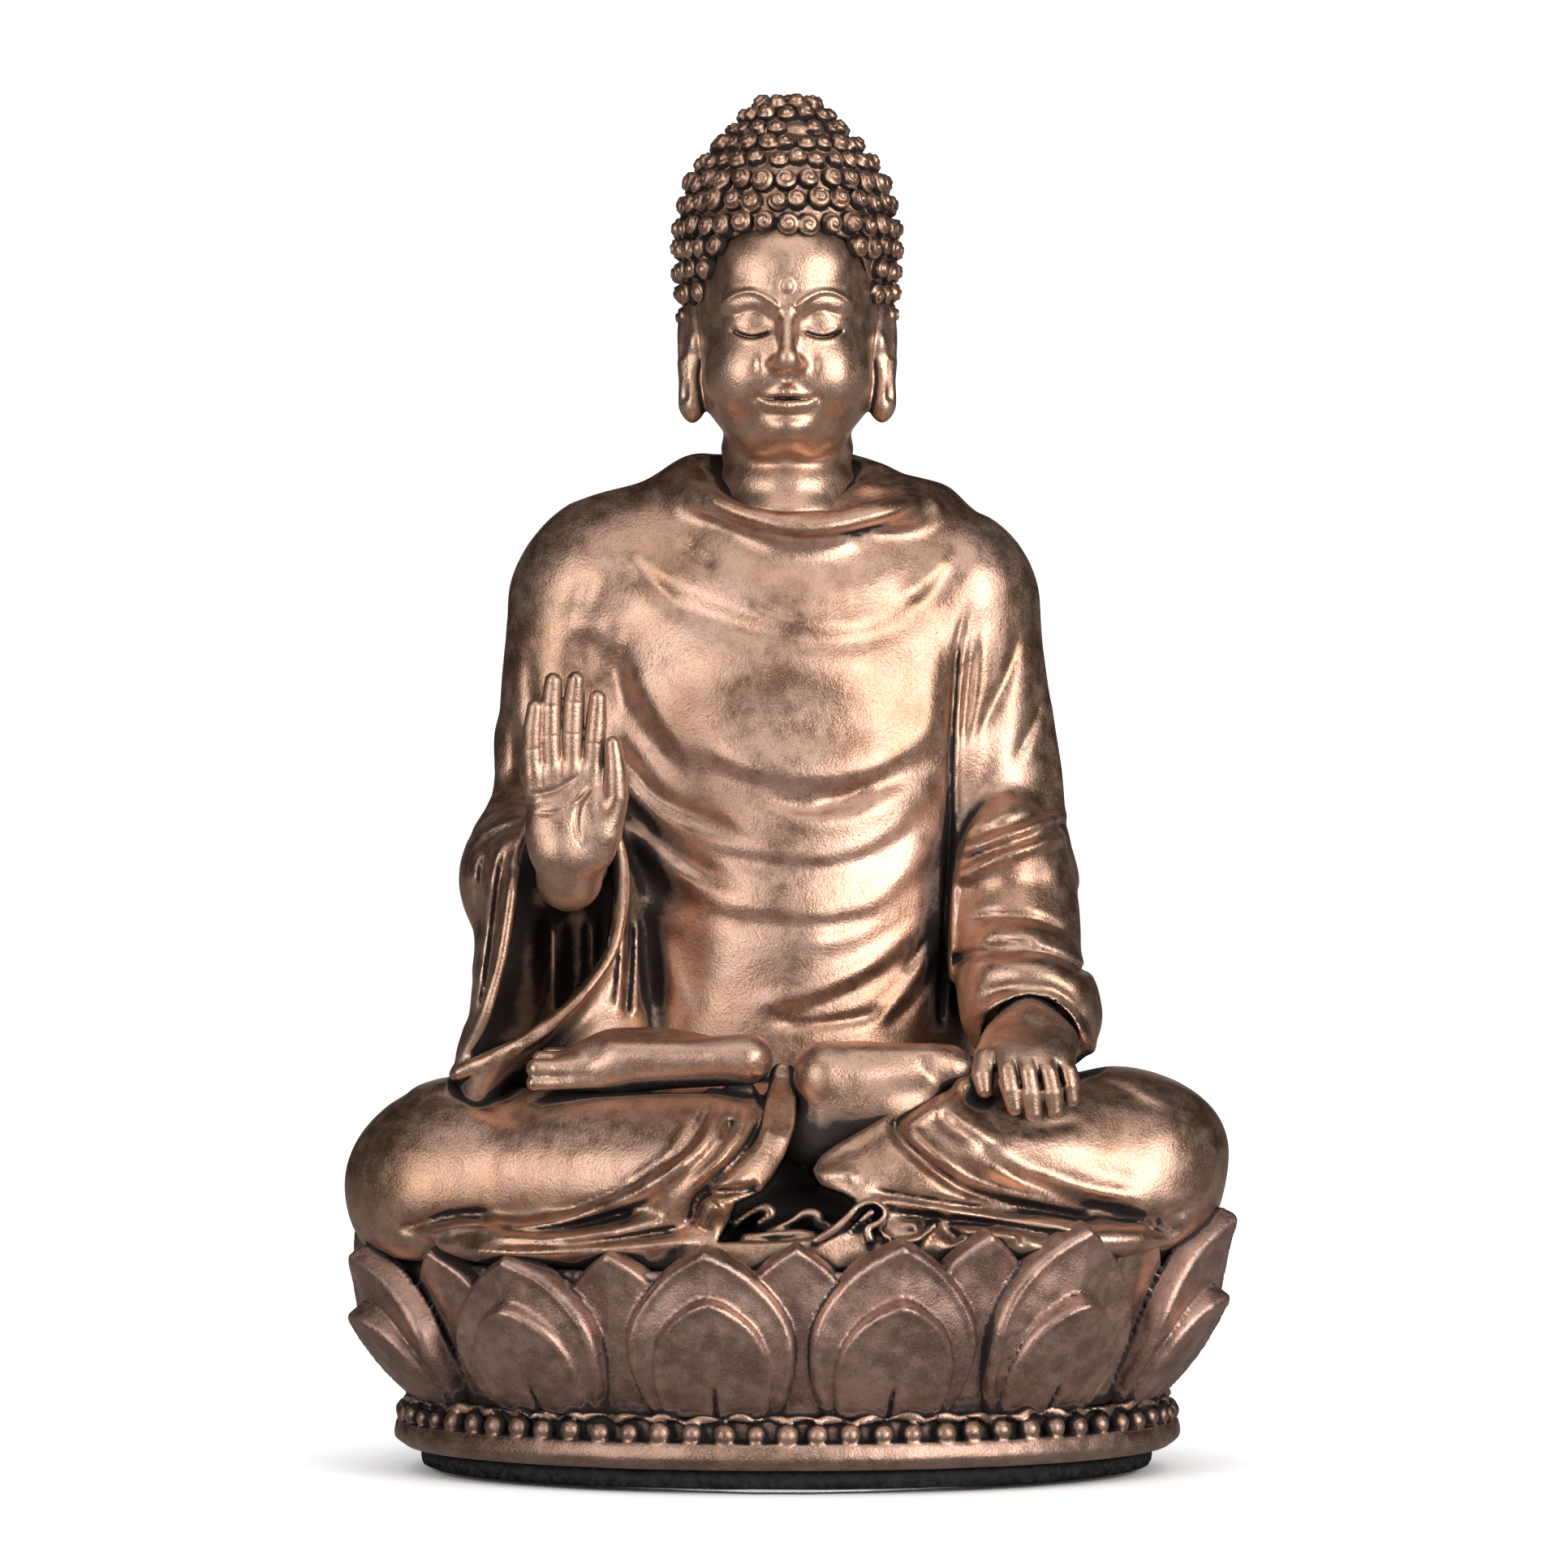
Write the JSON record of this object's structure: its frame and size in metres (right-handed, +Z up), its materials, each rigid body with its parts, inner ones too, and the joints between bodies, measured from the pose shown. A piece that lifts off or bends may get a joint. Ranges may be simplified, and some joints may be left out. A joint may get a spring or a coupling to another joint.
{
  "type": "buddha statue",
  "caption": "Seated Buddha statue on an oval lotus pedestal with a beaded foot, cold-cast in sections with a satin bronze finish.",
  "frame": {"origin": "centre of the footprint, on the surface that the statue stands on", "axes": "+Z up to the top of the hair, -Y the way the figure faces, +X to the figure's left side"},
  "size_m": [0.0572, 0.0472, 0.09],
  "materials": {
    "bronze_finish_resin": "satin copper-bronze metallic paint over cast resin, with dark brown antiquing left in the recesses",
    "bare_resin": "unpainted cast resin",
    "stone_powder_fill": "matt cast filler",
    "black_foam_pad": "matt black closed-cell foam",
    "clear_film": "thin clear protective film"
  },
  "bodies": {
    "root": {"figure_body": "bronze_finish_resin", "head": "bronze_finish_resin", "right_hand": "bronze_finish_resin", "left_hand": "bronze_finish_resin", "lotus_pedestal": "bronze_finish_resin", "beaded_rim": "bronze_finish_resin", "locating_dowels": "bare_resin", "ballast_fill": "stone_powder_fill", "base_pad": "black_foam_pad", "base_film": "clear_film"}
  },
  "joints": []
}
